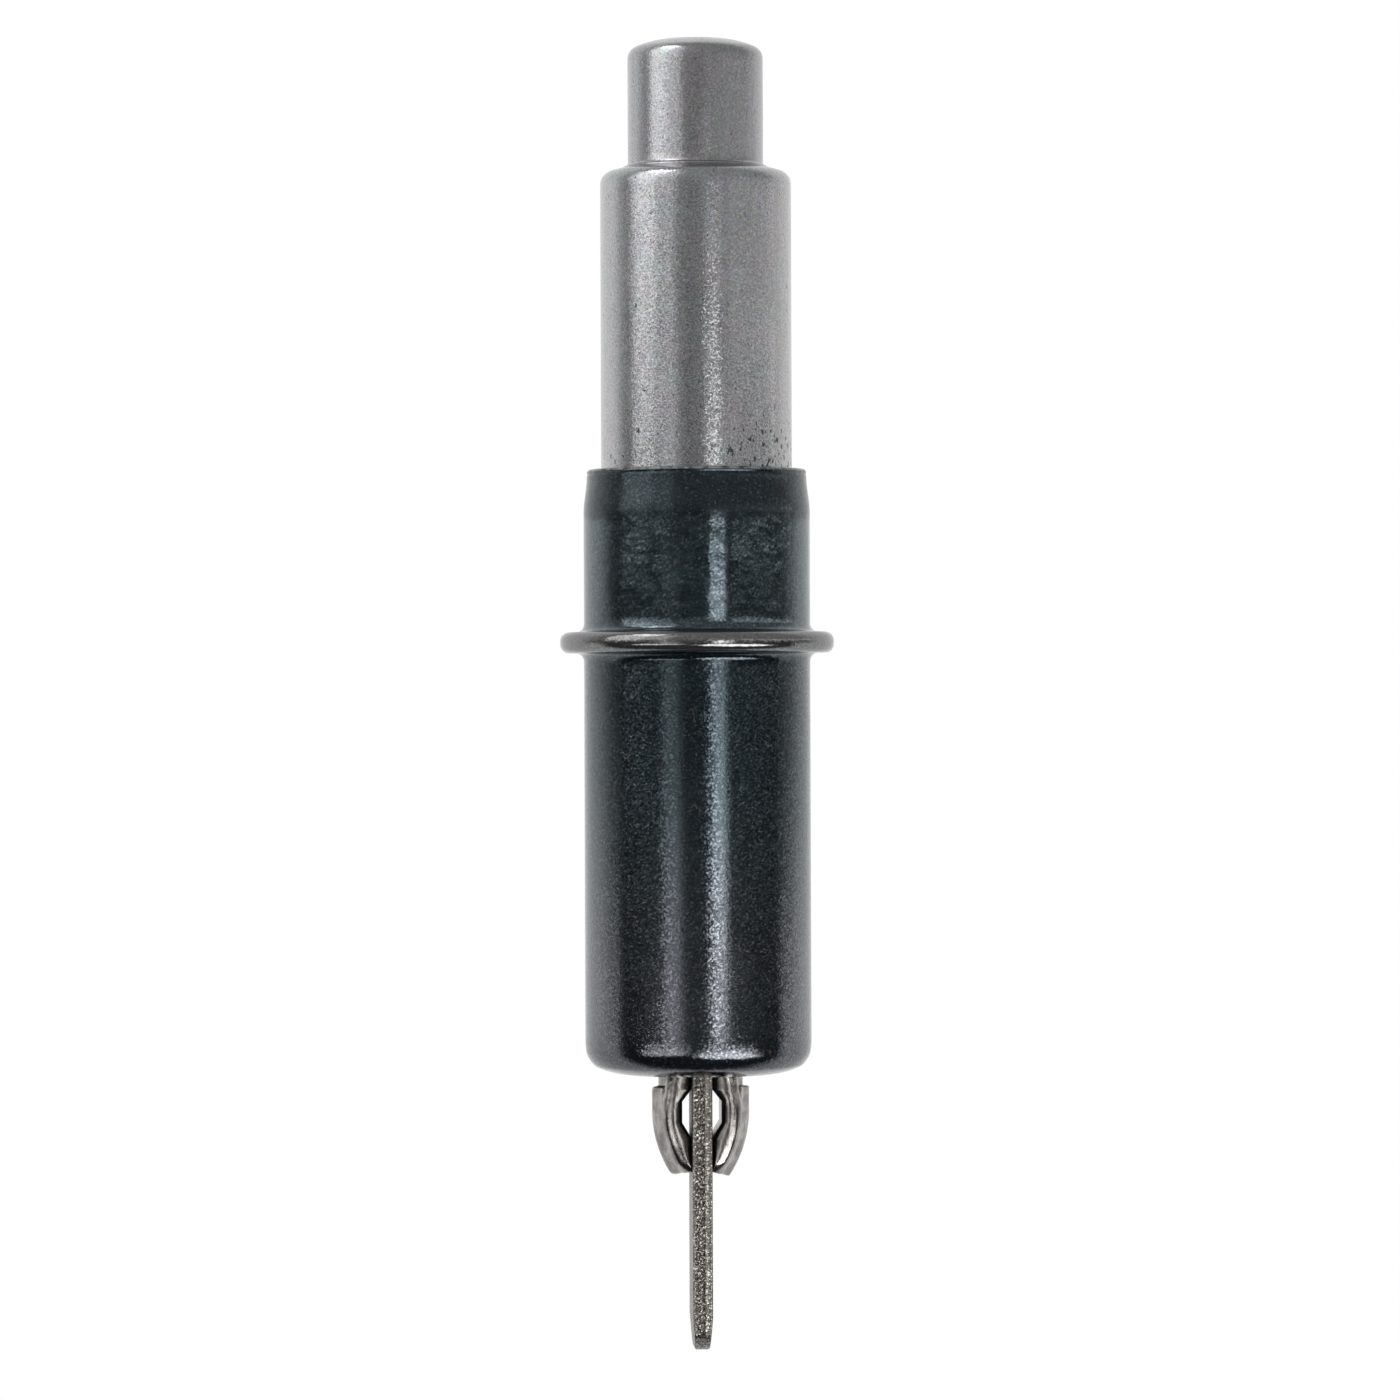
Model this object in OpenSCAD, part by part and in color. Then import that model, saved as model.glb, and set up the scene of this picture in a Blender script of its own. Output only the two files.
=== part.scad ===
// Plier-operated temporary sheet fastener, spring type, for a 5/32 in hole.
// A drawn steel housing with a folded bead holds a sprung plunger. The plunger carries two
// step-cut locks that straddle a flat spreader bar. Pressed, the plunger pushes the locks past the
// end of the bar, so that they can close and enter a hole. Released, the spring draws them back over
// the bar, and their steps pull the sheets up to the seat.
// Frame: the origin is at the middle of the seat, and +Z runs up the axis to the plunger.

/* [Housing] */
// Outside diameter of the housing
housing_od = 10.7; // [9.6:0.1:12]
// Sheet thickness of the housing
housing_wall = 0.6; // [0.45:0.05:0.65]
// Height of the housing from the seat to the rim
housing_h = 28.55; // [25:0.05:33]
// Outside radius of the drawn corner round the seat
housing_corner = 0.9; // [0.75:0.05:1.1]
// Outside radius of the curve between that corner and the flat seat
seat_curve = 3.7; // [3.2:0.1:4.5]
// Diameter of the flat seat
seat_flat = 6.5; // [6:0.1:7]
// Outside diameter of the folded plier bead
bead_od = 12.95; // [12.4:0.05:14]
// Thickness of the folded plier bead
bead_t = 1.0; // [0.9:0.05:1.2]
// Height of the middle of the bead above the seat
bead_z = 20.38; // [16:0.02:22]
// Radius of the fillets at the root of the bead
bead_fillet = 0.4; // [0.2:0.05:0.5]
// How far the rim is swaged in, on the radius
rim_swage = 0.16; // [0.12:0.02:0.2]
// Height of the swaged band below the rim
swage_h = 1.8; // [1.4:0.1:2.4]

/* [Plunger] */
// Sheet thickness of the plunger
plunger_wall = 0.55; // [0.4:0.05:0.55]
// Height of the shoulder above the rim of the housing, at rest
shoulder_out = 14.31; // [14:0.01:17]
// Outside radius of the shoulder
shoulder_corner = 0.65; // [0.4:0.05:0.8]
// Slope of the shoulder up to the crown
shoulder_slope = 14; // [8:1:18]
// Outside diameter of the crown
crown_od = 6.4; // [5.9:0.05:6.9]
// Height of the crown above the shoulder
crown_h = 6.02; // [4:0.02:8]
// Outside radius of the edge of the crown
crown_corner = 0.6; // [0.6:0.05:0.75]
// Outside radius of the dome between that edge and the flat top
crown_dome = 4.4; // [4:0.1:5]
// Diameter of the flat on top of the crown
crown_flat = 2.2; // [1.8:0.1:2.6]
// Height of the out-turned lip that catches under the rim
lip_h = 0.8; // [0.5:0.1:1.5]

/* [Locks] */
// Diameter over both shanks when they lie on the spreader bar
shank_d = 4.0; // [3.7:0.05:4.3]
// Width of the locks' strip
lock_w = 3.25; // [3.1:0.05:3.3]
// Thickness of the locks' strip, without its rib
lock_t = 1.07; // [0.9:0.01:1.1]
// Width of the rounded rib on the outer face of the strip
rib_w = 2.1; // [1.9:0.05:2.15]
// How far the step stands out from the shank, on the radius
step_out = 0.3; // [0.2:0.02:0.4]
// Distance from the seat to the step, at rest
step_gap = 0.55; // [0.3:0.05:1]
// Length of the straight part of the barb below the step
barb_h = 1.17; // [1:0.01:1.5]
// Height of the straight part of the window beside the bar
window_h = 1.0; // [0.9:0.05:1.3]
// Outside radius of the bend that brings the tip in
tip_bend = 5.6; // [5.4:0.1:7]
// Angle of the bend at the tip
tip_angle = 34.5; // [30:0.5:36]
// Slope of the cut across the tip
tip_cut = 22; // [15:1:30]
// Chamfer on the front and back edges of the tip
tip_chamfer = 0.5; // [0.3:0.05:0.7]
// Inside radius of the hook at the top of a lock
hook_bend = 0.35; // [0.25:0.05:0.5]

/* [Spreader bar] */
// Thickness of the bar
spreader_t = 0.95; // [0.8:0.05:1.1]
// Width of the bar
spreader_w = 3.3; // [2.8:0.05:3.5]
// How far the bar reaches below the seat
spreader_reach = 13.0; // [11:0.1:13.1]
// Height of the cross arms that the spring holds down
arm_h = 1.5; // [1:0.1:2.5]
// Thickness left at the very tip
tip_t = 0.7; // [0.5:0.05:0.75]
// Length of the taper at the tip
tip_taper = 1.6; // [1:0.1:2.5]
// Radius of the tip's corners, seen on its broad face
tip_corner = 1.2; // [0.8:0.05:1.35]

/* [Spring] */
// Diameter of the spring wire
wire_d = 1.0; // [0.8:0.05:1.05]
// Number of working turns
active_turns = 15; // [12:1:16]

/* [Fits] */
// Clearance of the plunger in the swaged rim, on the radius
plunger_fit = 0.08; // [0.06:0.01:0.1]
// Clearance of the plunger's lip in the housing, on the radius
lip_fit = 0.06; // [0.04:0.01:0.08]
// Clearance of the spring in the plunger, on the radius
spring_fit = 0.2; // [0.15:0.01:0.3]
// Clearance of the shanks in the housing's hole, on the radius
hole_fit = 0.15; // [0.1:0.01:0.2]
// Clearance between a lock's flat and the spreader bar
flat_fit = 0.03; // [0.02:0.01:0.05]
// Small gap left between pieces that press on each other
seat_gap = 0.03; // [0.02:0.01:0.05]

/* [Hidden] */
$fn = 96;

black_oxide = [0.10, 0.11, 0.12];
dull_steel = [0.52, 0.52, 0.53];
bare_steel = [0.45, 0.43, 0.41];
spring_steel = [0.30, 0.30, 0.31];

// Housing
housing_r = housing_od / 2;
housing_ir = housing_r - housing_wall;
seat_r = seat_flat / 2;
swage_z = housing_h - swage_h;
cone_h = 0.68 * swage_h;
rim_r = housing_r - rim_swage;
rim_ir = housing_ir - rim_swage;
rim_edge = 0.4 * housing_wall;
bead_r = bead_od / 2;
bead_edge = 0.42 * bead_t;
crease_h = 0.5 * bead_t;
crease_depth = 0.7 * (bead_r - housing_r);
hole_edge = 0.4 * housing_wall;
hole_r = shank_d / 2 + hole_fit;

// Plunger
plunger_r = rim_ir - plunger_fit;
plunger_ir = plunger_r - plunger_wall;
crown_r = crown_od / 2;
crown_ir = crown_r - plunger_wall;
lip_r = housing_ir - lip_fit;
neck_fillet = 0.27 * plunger_wall;
shoulder_z = housing_h + shoulder_out;
top_z = shoulder_z + crown_h;
// The lip stops where the swaged bore has narrowed to the lip's own radius
lip_stop_z = swage_z + cone_h * lip_fit / rim_swage;
lip_top_z = lip_stop_z - seat_gap;
skirt_z = lip_top_z - lip_h;

// Ribbed strip of the locks
flat_x = spreader_t / 2 + flat_fit;
shank_r = shank_d / 2;
stock_h = shank_r - flat_x;
strip_edge = 0.48 * lock_t;
window_in = 1.4 * step_out;
step_z = -step_gap;
barb_z = step_z - barb_h;
ramp_top_z = step_z - 0.5 * step_out;
ramp_h = 1.85 * step_out;
foot_top_z = ramp_top_z - ramp_h - window_h;
foot_h = 2.3 * step_out;
hook_r = plunger_ir - spring_fit;
hook_x = shank_r + hook_bend;
// The hooks bear up against the sloping inside of the plunger's shoulder
hook_top_z = under_shoulder_z(hook_r) - seat_gap;
hook_z = hook_top_z - hook_bend - stock_h;

// Spreader bar
bar_edge = 0.1 * spreader_t;
arm_half = (housing_ir + seat_r) / 2;
arm_foot = seat_r - seat_gap;
arm_chamfer = 0.2 * arm_h;
arm_top_z = housing_wall + arm_h;

// Spring
coil_r = plunger_ir - spring_fit - wire_d / 2;
spring_z = arm_top_z;
spring_top_z = hook_z + hook_bend - seat_gap;
end_turns = 1;
turns = active_turns + 2 * end_turns;
end_pitch = 1.05 * wire_d;
ground = 0.3 * wire_d;
steps_per_turn = 16;
wire_sides = 6;

// Height of the inside of the plunger's sloping shoulder at the radius r
function under_shoulder_z(r) =
    shoulder_z - plunger_wall / cos(shoulder_slope) - (r - crown_r) * tan(shoulder_slope);

function is_end(t) = t < end_turns ? -1 : (t > turns - end_turns ? 1 : 0);

// Height of the wire's centre after t turns: closed turns at both ends, an even pitch between them
function coil_z(t) =
    let (low = spring_z + wire_d / 2 - ground, high = spring_top_z - wire_d / 2 + ground,
         first = low + end_turns * end_pitch, last = high - end_turns * end_pitch)
    is_end(t) < 0 ? low + t * end_pitch
    : is_end(t) > 0 ? high - (turns - t) * end_pitch
    : first + (t - end_turns) / active_turns * (last - first);

// Quarter of material that fills an inside corner at [0, 0] of the quadrant [sx, sy]
module fillet_2d(r, sx, sy) {
    mirror([sx < 0 ? 1 : 0, 0]) mirror([0, sy < 0 ? 1 : 0])
        difference() {
            square(r);
            translate([r, r]) circle(r = r);
        }
}

// Half section of a domed end from the axis out to r: a rounded edge, then a dome up to the radius flat_r
module dome_2d(r, z0, z1, edge, dome, flat_r) {
    slope = asin((r - edge - flat_r) / (dome - edge));
    wall_z = z1 - dome + (dome - edge) * cos(slope);
    translate([0, z0]) square([r, wall_z - z0]);
    translate([r - edge, wall_z]) circle(r = edge);
    translate([0, wall_z - edge]) square([flat_r, z1 - wall_z + edge]);
    intersection() {
        translate([flat_r, z1 - dome]) circle(r = dome);
        translate([0, wall_z - edge]) square([flat_r + dome * sin(slope), z1 - wall_z + edge]);
    }
}

// Half section of a cup from the axis out to r, with a domed lower end
module cup_2d(r, z0, z1, edge, dome) {
    translate([0, z0]) mirror([0, 1]) dome_2d(r, z0 - z1, 0, edge, dome, seat_r);
}

// Half section of a cap from the axis out to r: a rounded edge, then a slope up to the radius flat_r
module cap_2d(r, z0, z1, edge, slope, flat_r) {
    edge_x = r - edge + edge * sin(slope);
    edge_z = z1 - (edge_x - flat_r) * tan(slope);
    wall_z = edge_z - edge * cos(slope);
    translate([0, z0]) square([r, wall_z - z0]);
    translate([r - edge, wall_z]) circle(r = edge);
    polygon([[0, wall_z - edge], [r - edge, wall_z - edge], [edge_x, edge_z], [flat_r, z1], [0, z1]]);
}

module housing_outside_2d() {
    cup_2d(housing_r, 0, swage_z, housing_corner, seat_curve);
    // swaged band and rim
    polygon([[0, swage_z], [housing_r, swage_z], [rim_r, swage_z + cone_h], [rim_r, housing_h - rim_edge],
             [0, housing_h - rim_edge]]);
    cap_2d(rim_r, housing_h - 2 * rim_edge, housing_h, rim_edge, 0, rim_r / 2);
    // folded bead with a rounded rim and fillets at its root
    for (side = [-1, 1]) {
        translate([bead_r - bead_edge, bead_z + side * (bead_t / 2 - bead_edge)]) circle(r = bead_edge);
        translate([housing_r, bead_z + side * bead_t / 2]) fillet_2d(bead_fillet, 1, side);
    }
    translate([0, bead_z - bead_t / 2]) square([bead_r - bead_edge, bead_t]);
    translate([0, bead_z - bead_t / 2 + bead_edge]) square([bead_r, bead_t - 2 * bead_edge]);
}

module housing_inside_2d() {
    cup_2d(housing_ir, housing_wall, swage_z, housing_corner - housing_wall, seat_curve - housing_wall);
    polygon([[0, swage_z], [housing_ir, swage_z], [rim_ir, swage_z + cone_h], [rim_ir, housing_h + rim_edge],
             [0, housing_h + rim_edge]]);
    // crease where the wall folds out into the bead
    polygon([[0, bead_z - crease_h / 2], [housing_ir, bead_z - crease_h / 2],
             [housing_ir + crease_depth, bead_z], [housing_ir, bead_z + crease_h / 2],
             [0, bead_z + crease_h / 2]]);
    // pierced hole with a rounded edge on the seat
    translate([0, -housing_wall]) square([hole_r, 3 * housing_wall]);
    translate([hole_r, 0]) fillet_2d(hole_edge, 1, 1);
}

module housing() {
    color(black_oxide)
        rotate_extrude()
            difference() {
                housing_outside_2d();
                housing_inside_2d();
            }
}

module plunger_outside_2d() {
    cap_2d(plunger_r, skirt_z, shoulder_z, shoulder_corner, shoulder_slope, crown_r);
    dome_2d(crown_r, shoulder_z - crown_corner, top_z, crown_corner, crown_dome, crown_flat / 2);
    // fillet at the foot of the crown, standing a little proud of the slope
    translate([crown_r, shoulder_z]) fillet_2d(neck_fillet, 1, 1);
    translate([0, shoulder_z - neck_fillet]) square([crown_r + neck_fillet, neck_fillet]);
    // out-turned lip
    translate([0, skirt_z]) square([lip_r, lip_h]);
}

module plunger_inside_2d() {
    low_z = skirt_z - lip_h;
    dome_2d(crown_ir, shoulder_z - plunger_wall, top_z - plunger_wall, crown_corner - plunger_wall,
            crown_dome - plunger_wall, crown_flat / 2);
    polygon([[0, low_z], [plunger_ir, low_z], [plunger_ir, under_shoulder_z(plunger_ir)],
             [crown_ir, under_shoulder_z(crown_ir)], [crown_ir, shoulder_z], [0, shoulder_z]]);
}

module plunger() {
    color(dull_steel)
        rotate_extrude()
            difference() {
                plunger_outside_2d();
                plunger_inside_2d();
            }
}

// Section of the stock: a strip with rounded edges on its flat at x = 0, and a rounded rib outside it
module stock_2d() {
    translate([0, strip_edge - lock_w / 2]) square([lock_t, lock_w - 2 * strip_edge]);
    translate([strip_edge, -lock_w / 2]) square([lock_t - 2 * strip_edge, lock_w]);
    for (x = [strip_edge, lock_t - strip_edge], side = [-1, 1])
        translate([x, side * (lock_w / 2 - strip_edge)]) circle(r = strip_edge);
    intersection() {
        translate([-flat_x, 0]) circle(r = shank_r);
        translate([0, -rib_w / 2]) square([stock_h, rib_w]);
    }
}

// Stock swept through an angle about an axis along Y; dist is from that axis to the section's x = 0
module stock_bend(dist, angle) {
    rotate([-90, 0, 0]) rotate_extrude(angle = angle) translate([dist, 0]) stock_2d();
}

module lock_shank() {
    low_z = ramp_top_z - ramp_h;
    translate([flat_x, 0, low_z]) linear_extrude(hook_z - low_z) stock_2d();
}

// Inner side of the tip below the window, ground to run on the spreader bar
module lock_foot() {
    low_z = foot_top_z - 2 * foot_h;
    translate([flat_x, strip_edge - lock_w / 2, low_z])
        cube([window_in, lock_w - 2 * strip_edge, 2 * foot_h]);
}

// Window ground into the side that faces the spreader bar, with a ramp at each end
module lock_window() {
    deep_x = flat_x + window_in;
    rotate([90, 0, 0])
        linear_extrude(2 * lock_w, center = true)
            polygon([[0, ramp_top_z], [flat_x, ramp_top_z], [deep_x, ramp_top_z - ramp_h], [deep_x, foot_top_z],
                     [flat_x, foot_top_z - foot_h], [0, foot_top_z - foot_h]]);
}

// Outline of the barb on its broad face: y across, z along, with the chamfers at the tip
module barb_outline_2d(end_z) {
    half = lock_w / 2;
    polygon([[-half, step_z], [half, step_z], [half, end_z + 2 * tip_chamfer], [half - tip_chamfer, end_z],
             [tip_chamfer - half, end_z], [-half, end_z + 2 * tip_chamfer]]);
}

module lock_barb() {
    bend_x = shank_r + step_out - tip_bend;
    end_x = bend_x + tip_bend * cos(tip_angle);
    end_z = barb_z - tip_bend * sin(tip_angle);
    spare_angle = 8;
    intersection() {
        difference() {
            union() {
                translate([flat_x + step_out, 0, barb_z]) linear_extrude(barb_h) stock_2d();
                translate([bend_x, 0, barb_z]) stock_bend(tip_bend - stock_h, tip_angle + spare_angle);
                lock_foot();
            }
            // side that faces the spreader bar, and the sloping cut across the end
            translate([flat_x - tip_bend, -lock_w, barb_z - tip_bend]) cube([tip_bend, 2 * lock_w, tip_bend]);
            translate([end_x, 0, end_z]) rotate([0, tip_cut, 0])
                translate([-tip_bend, -lock_w, -tip_bend]) cube([2 * tip_bend, 2 * lock_w, tip_bend]);
        }
        rotate([90, 0, 90]) linear_extrude(2 * shank_d) barb_outline_2d(end_z);
    }
}

module lock_hook() {
    intersection() {
        union() {
            translate([hook_x, 0, hook_z])
                mirror([1, 0, 0]) mirror([0, 0, 1]) rotate([-90, 0, 0])
                    rotate_extrude(angle = 90)
                        translate([hook_bend + stock_h, 0]) mirror([1, 0]) stock_2d();
            translate([hook_x, 0, hook_top_z])
                rotate([0, 90, 0]) linear_extrude(hook_r - hook_x) stock_2d();
        }
        translate([0, 0, hook_z]) cylinder(r = hook_r, h = 2 * (stock_h + hook_bend));
    }
}

module lock_right() {
    color(bare_steel)
        difference() {
            union() {
                lock_shank();
                lock_barb();
                lock_hook();
            }
            lock_window();
        }
}

module lock_left() {
    mirror([1, 0, 0]) lock_right();
}

// Outline of the bar on its broad face: y across, z along
module bar_outline_2d() {
    translate([-spreader_w / 2, tip_corner - spreader_reach])
        square([spreader_w, spreader_reach + housing_wall - tip_corner + arm_h]);
    translate([tip_corner - spreader_w / 2, -spreader_reach])
        square([spreader_w - 2 * tip_corner, 2 * tip_corner]);
    for (side = [-1, 1])
        translate([side * (spreader_w / 2 - tip_corner), tip_corner - spreader_reach]) circle(r = tip_corner);
}

// Section across the bar, with the rounded edges of a blanked strip
module bar_section_2d() {
    square([spreader_t - 2 * bar_edge, spreader_w], center = true);
    square([spreader_t, spreader_w - 2 * bar_edge], center = true);
    for (x = [-1, 1], y = [-1, 1])
        translate([x * (spreader_t / 2 - bar_edge), y * (spreader_w / 2 - bar_edge)]) circle(r = bar_edge);
}

// Side view of the bar, with the taper at its tip
module bar_side_2d() {
    top = arm_top_z;
    polygon([[-spreader_t / 2, top], [-spreader_t / 2, tip_taper - spreader_reach],
             [-tip_t / 2, -spreader_reach], [tip_t / 2, -spreader_reach],
             [spreader_t / 2, tip_taper - spreader_reach], [spreader_t / 2, top]]);
}

// Cross arms: y across, z along, with lower corners that clear the curve of the housing
module bar_arms_2d() {
    polygon([[-arm_foot, housing_wall], [arm_foot, housing_wall], [arm_half, housing_wall + arm_chamfer],
             [arm_half, arm_top_z], [-arm_half, arm_top_z], [-arm_half, housing_wall + arm_chamfer]]);
}

module spreader_bar() {
    color(bare_steel) {
        intersection() {
            rotate([90, 0, 90]) linear_extrude(spreader_t, center = true) bar_outline_2d();
            translate([0, 0, -spreader_reach]) linear_extrude(spreader_reach + arm_top_z) bar_section_2d();
            rotate([90, 0, 0]) linear_extrude(2 * spreader_w, center = true) bar_side_2d();
        }
        rotate([90, 0, 90]) linear_extrude(spreader_t, center = true) bar_arms_2d();
    }
}

module return_spring() {
    rings = turns * steps_per_turn;
    points = [for (i = [0:rings], j = [0:wire_sides - 1])
        let (turn = i / steps_per_turn, a = 360 * turn, b = 360 * j / wire_sides,
             rho = coil_r + wire_d / 2 * cos(b))
        [rho * cos(a), rho * sin(a), coil_z(turn) + wire_d / 2 * sin(b)]];
    sides = [for (i = [0:rings - 1], j = [0:wire_sides - 1])
        let (k = (j + 1) % wire_sides, low = i * wire_sides, high = low + wire_sides)
        [low + j, low + k, high + k, high + j]];
    start = [for (j = [wire_sides - 1:-1:0]) j];
    end = [for (j = [0:wire_sides - 1]) rings * wire_sides + j];
    color(spring_steel)
        intersection() {
            polyhedron(points, concat(sides, [start], [end]), convexity = 10);
            // ground ends
            translate([0, 0, spring_z]) cylinder(r = plunger_r, h = spring_top_z - spring_z);
        }
}

housing();
spreader_bar();
return_spring();
plunger();
lock_left();
lock_right();
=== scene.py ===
import math

import bmesh
import bpy
import numpy as np
from mathutils import Matrix, Vector, noise


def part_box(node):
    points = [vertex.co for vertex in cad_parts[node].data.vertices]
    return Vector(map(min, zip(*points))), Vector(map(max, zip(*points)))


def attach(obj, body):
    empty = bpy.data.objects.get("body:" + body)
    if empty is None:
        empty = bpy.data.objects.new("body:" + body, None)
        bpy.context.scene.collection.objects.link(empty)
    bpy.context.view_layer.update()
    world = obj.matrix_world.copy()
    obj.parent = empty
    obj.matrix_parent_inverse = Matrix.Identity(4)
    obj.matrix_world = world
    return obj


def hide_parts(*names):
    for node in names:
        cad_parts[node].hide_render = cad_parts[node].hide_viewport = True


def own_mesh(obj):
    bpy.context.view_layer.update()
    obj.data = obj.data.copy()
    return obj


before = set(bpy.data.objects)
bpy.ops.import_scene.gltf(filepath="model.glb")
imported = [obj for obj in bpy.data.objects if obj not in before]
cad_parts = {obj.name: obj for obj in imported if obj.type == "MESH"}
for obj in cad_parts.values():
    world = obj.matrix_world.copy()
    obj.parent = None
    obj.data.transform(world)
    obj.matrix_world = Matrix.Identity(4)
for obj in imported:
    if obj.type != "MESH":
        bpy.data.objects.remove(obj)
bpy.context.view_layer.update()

MM = 0.001

# Housing
HOUSING_R = 5.35
HOUSING_WALL = 0.6
HOUSING_IR = HOUSING_R - HOUSING_WALL
HOUSING_H = 28.55
HOUSING_CORNER = 0.9
SEAT_CURVE = 3.7
SEAT_R = 3.25
SOFT_Z = 1.65
SOFT_H = 1.0
SOFT_BEND = 0.06
BEAD_R = 6.475
BEAD_T = 1.0
BEAD_Z = 20.38
BEAD_EDGE = 0.42
BEAD_FILLET = 0.4
CREASE_H = 0.5
CREASE_DEPTH = 0.7875
RIM_SWAGE = 0.16
SWAGE_Z = 26.75
SWAGE_SOFT = 0.3
CONE_H = 1.224
RIM_R = HOUSING_R - RIM_SWAGE
RIM_IR = HOUSING_IR - RIM_SWAGE
RIM_EDGE = 0.16
RIM_CREASE_Z = 28.31
RIM_CREASE = 0.03
RIM_CREASE_H = 0.05
HOLE_R = 2.15
HOLE_EDGE = 0.24
BEAD_WAVE = 0.012
CHIP_DEPTH = 0.05

# Plunger
PLUNGER_R = 4.51
PLUNGER_WALL = 0.55
PLUNGER_IR = PLUNGER_R - PLUNGER_WALL
SHOULDER_Z = 42.86
SHOULDER_CORNER = 0.65
SHOULDER_SLOPE = math.radians(14)
CROWN_R = 3.2
CROWN_IR = CROWN_R - PLUNGER_WALL
CROWN_CORNER = 0.6
CROWN_DOME = 4.4
CROWN_FLAT_R = 1.1
TOP_DISC_R = 0.4
TOP_Z = 48.88
NECK_FILLET = 0.20
LIP_R = 4.69
LIP_TOP_Z = 27.18
SKIRT_Z = 26.38

# Locks
FLAT_X = 0.505
SHANK_R = 2.0
STOCK_H = SHANK_R - FLAT_X
LOCK_HALF = 1.625
LOCK_T = 1.07
STRIP_EDGE = 0.5
THINNEST = 0.01
RIB_HALF = 1.1
STEP_OUT = 0.3
STEP_Z = -0.55
SWING_TOP_Z = 0.1
SWING_MID_Z = -0.4
BARB_Z = -1.72
WINDOW_IN = 0.42
RAMP_TOP_Z = -0.70
RAMP_LOW_Z = -1.255
FOOT_TOP_Z = -2.255
FOOT_LOW_Z = -2.945
TIP_BEND = 5.6
TIP_ANGLE = math.radians(34.5)
TIP_CUT = math.radians(22)
TIP_CHAMFER = 0.5
WEAR_START = 0.5
END_RING = 0.9
# Painted shade: how dark the cut end is painted, and over how far the painted shade of the inner side fades
PAINTED_END_SHADE = 0.6
PAINTED_SHADE_FADE = 0.3
HOOK_BEND = 0.35
HOOK_R = 3.76
HOOK_INSET = 0.02
HOOK_X = SHANK_R + HOOK_BEND
HOOK_TOP_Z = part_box("lock_right")[1].z / MM
HOOK_Z = HOOK_TOP_Z - HOOK_BEND - STOCK_H

# Edge of a lock's step: shares of its reach, each with a drop in units of the lock's own drop
STEP_PROFILE = ((0.7, 0.7), (0.88, 1.0), (0.96, 1.7), (1.0, 2.8))
STEP_END = 3.2

# Locks and bar stand a little to the right in the play of the seat's hole
SIDE_PLAY = 0.09

# Spreader bar
BAR_HALF_T = 0.475
BAR_HALF_W = 1.65
BAR_EDGE = 0.095
BAR_LOW_Z = -13.0
BAR_TIP_HALF_T = 0.35
BAR_TAPER = 1.6
BAR_CORNER = 1.2
BAR_TIP_ROUND = 0.14
TORN_MIDDLE = -0.27
TORN_HALF = 0.50
SCORED_START = TORN_MIDDLE + TORN_HALF + 0.1
TEAR_DEPTH = 0.06
CHAIN_DEPTH = 0.10
SCORE_DEPTH = 0.02
ARM_HALF = 4.0
ARM_TOP_Z = 2.1
ARM_LOW_Z = 0.6
ARM_CHAMFER = 0.3

# Return spring
WIRE_R = 0.5
COIL_R = 3.26
SPRING_Z = 2.1
SPRING_TOP_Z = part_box("return_spring")[1].z / MM
ACTIVE_TURNS = 15
END_TURNS = 1
END_PITCH = 1.05
GROUND = 0.3

# Where a finish, a painted sheen or a painted shade changes along an axis or outwards: the change runs from
# the first place to the second
BEAD_FINISH = (HOUSING_R + 0.3, HOUSING_R + 0.7)
ABOVE_BEAD = (BEAD_Z - 1.0, BEAD_Z + 1.0)
RIM_WEAR = (HOUSING_H - 0.16, HOUSING_H - 0.08)
DULL_CONE = (SWAGE_Z - 1.0, SWAGE_Z - 0.3)
SATIN_START = (0.7, 1.1)
SATIN_END = (2.3, 1.5)
SHINE_FALL = (2.0, 19.0)
CORNER_SHINE = (0.4, 2.4)
TEAL_RISE = (4.0, 16.0)
PLUNGER_RIGHT = (2.9, 4.2)
# Painted sheen on the plunger's left edge
PLUNGER_LEFT_PAINTED_SHEEN = (-3.3, -4.0)
PIT_RISE = (HOUSING_H + 4.0, HOUSING_H)
PIT_SIDE = (0.0, 3.5)
# Band down the plunger's front that sparkles and is painted darker as shade
SPARKLE_AND_SHADE_LEFT = (-0.4, 0.2)
SPARKLE_AND_SHADE_RIGHT = (1.3, 0.7)
SPARKLE_AND_SHADE_TOP = (40.0, 36.0)
# Painted shade on the crown's right side
PAINTED_CROWN_SHADE_Z = (SHOULDER_Z - 0.2, SHOULDER_Z + 0.2)
CROWN_SHADE = (-1.2, 1.0)
BAR_RIM = (BAR_HALF_W - 0.22, BAR_HALF_W - 0.14)

# Camera and stage
CAMERA_DISTANCE = 0.300
CAMERA_HEIGHT = 0.01766
CAMERA_YAW = math.radians(3.0)
CAMERA_ROLL = math.radians(-0.2)
FRAME_WIDTH = 0.0662
SENSOR = 36.0
FRAME_SHIFT = 2.7 / 1400
FLOOR_Z = -0.16
FLOOR_SIZE = 8.0
FLOOR_FADE = (0.10, 0.35)
FLOOR_NEAR = 0.70
WHITE = (1.0, 1.0, 1.0, 1.0)

# Room that gloss sees: heights and depths of a direction, and places on the floor in metres
ROOM_RISE = (0.032, 0.054)
ROOM_DARK = 0.10
ROOM_GREY = 0.45
ROOM_BACK = (0.05, 0.60)
FLOOR_FRONT = (-1.6, -1.0)
FLOOR_DARK = 0.03
FLOOR_BACK = (-0.02, 0.05)


# Points, meshes and noise


def arc(x, z, radius, start, end, steps=10):
    """Points of an arc in a half section, between two angles in degrees."""
    angles = np.radians(np.linspace(start, end, steps + 1))
    return [(x + radius * math.cos(a), z + radius * math.sin(a)) for a in angles]


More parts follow.
